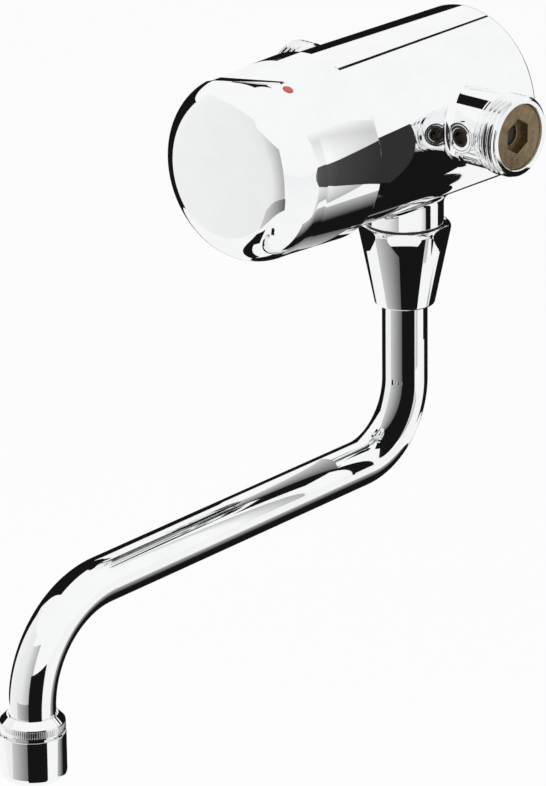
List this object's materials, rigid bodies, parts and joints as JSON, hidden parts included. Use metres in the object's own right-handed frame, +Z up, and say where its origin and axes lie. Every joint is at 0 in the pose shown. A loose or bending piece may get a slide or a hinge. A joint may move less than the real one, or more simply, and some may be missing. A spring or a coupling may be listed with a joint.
{
  "type": "self-closing wall mixer tap",
  "caption": "Self-closing mixer for a wall: a round chromed body with a press-and-turn button, side inlets and a swivelling bent spout with an aerator.",
  "frame": {"origin": "middle of the flat back face that lies against the wall, on the axis of the round body", "axes": "+Y into the wall, along the body axis, with the button facing -Y; +Z up; +X to the right of someone facing the wall"},
  "size_m": [0.098, 0.2181, 0.2054],
  "materials": {
    "chromed_brass": "polished chrome plate on brass",
    "plain_brass": "turned brass, unplated",
    "steel": "stainless steel",
    "spring_steel": "spring steel wire",
    "black_rubber": "smooth black rubber",
    "light_plastic": "off-white moulded plastic",
    "dark_plastic": "dark grey moulded plastic",
    "washer_plastic": "white low-friction plastic",
    "ceramic": "lapped ceramic",
    "red_enamel": "red enamel"
  },
  "bodies": {
    "mixer": {"mixer_body": "chromed_brass", "inlet_nipple_left": "chromed_brass", "inlet_nipple_right": "chromed_brass", "outlet_nipple": "plain_brass", "spout_nut": "chromed_brass", "friction_washer": "washer_plastic", "port_seals": "black_rubber", "cartridge_base": "light_plastic", "fixed_disc": "ceramic", "cartridge_housing": "light_plastic", "housing_o_ring": "black_rubber", "spindle_o_ring": "black_rubber", "temperature_stop_ring": "dark_plastic", "cartridge_ring_nut": "plain_brass", "check_valve_washer_left": "black_rubber", "check_valve_body_left": "plain_brass", "check_valve_guide_left": "light_plastic", "stop_valve_gland_left": "chromed_brass", "check_valve_washer_right": "black_rubber", "check_valve_body_right": "plain_brass", "check_valve_guide_right": "light_plastic", "stop_valve_gland_right": "chromed_brass"},
    "temperature_drive": {"mixing_disc": "ceramic", "disc_driver": "dark_plastic", "return_spring": "spring_steel"},
    "push_button": {"button_cap": "chromed_brass", "temperature_dot": "red_enamel", "button_carrier": "dark_plastic", "carrier_screw": "steel", "cap_grub_screw": "steel", "spindle": "steel", "timing_piston": "dark_plastic", "piston_seal": "black_rubber"},
    "spout": {"spout_swivel": "plain_brass", "spout_o_ring": "black_rubber", "spout_tube": "chromed_brass", "spout_end_collar": "chromed_brass", "aerator_housing": "chromed_brass", "aerator_washer": "black_rubber", "jet_plate": "light_plastic", "flow_straightener": "light_plastic"},
    "stop_valve_left": {"stop_valve_plug_left": "plain_brass", "stop_valve_o_ring_left": "black_rubber"},
    "check_poppet_left": {"check_valve_poppet_left": "dark_plastic", "check_valve_spring_left": "spring_steel"},
    "stop_valve_right": {"stop_valve_plug_right": "plain_brass", "stop_valve_o_ring_right": "black_rubber"},
    "check_poppet_right": {"check_valve_poppet_right": "dark_plastic", "check_valve_spring_right": "spring_steel"}
  },
  "joints": [
    {"name": "temperature_turn", "type": "hinge", "parent": "mixer", "child": "temperature_drive", "pos_m": [0, -0.055, 0], "axis": [0, 1, 0], "range_deg": [-60, 60]},
    {"name": "button_press", "type": "slide", "parent": "temperature_drive", "child": "push_button", "axis": [0, 1, 0], "range_m": [0, 0.005], "stiffness_N_per_m": 3000, "springref_m": -0.003, "deforming": ["return_spring"]},
    {"name": "spout_turn", "type": "hinge", "parent": "mixer", "child": "spout", "pos_m": [0, -0.0313, -0.05], "axis": [0, 0, 1], "range_deg": [-90, 90]},
    {"name": "stop_valve_left_turn", "type": "hinge", "parent": "mixer", "child": "stop_valve_left", "pos_m": [-0.0346, -0.0313, 0.002], "axis": [0, 1, 0], "range_deg": [0, 90]},
    {"name": "check_valve_left_lift", "type": "slide", "parent": "mixer", "child": "check_poppet_left", "axis": [1, 0, 0], "range_m": [0, 0.001], "stiffness_N_per_m": 200, "springref_m": -0.001, "deforming": ["check_valve_spring_left"]},
    {"name": "stop_valve_right_turn", "type": "hinge", "parent": "mixer", "child": "stop_valve_right", "pos_m": [0.0346, -0.0313, 0.002], "axis": [0, 1, 0], "range_deg": [0, 90]},
    {"name": "check_valve_right_lift", "type": "slide", "parent": "mixer", "child": "check_poppet_right", "axis": [-1, 0, 0], "range_m": [0, 0.001], "stiffness_N_per_m": 200, "springref_m": -0.001, "deforming": ["check_valve_spring_right"]}
  ]
}
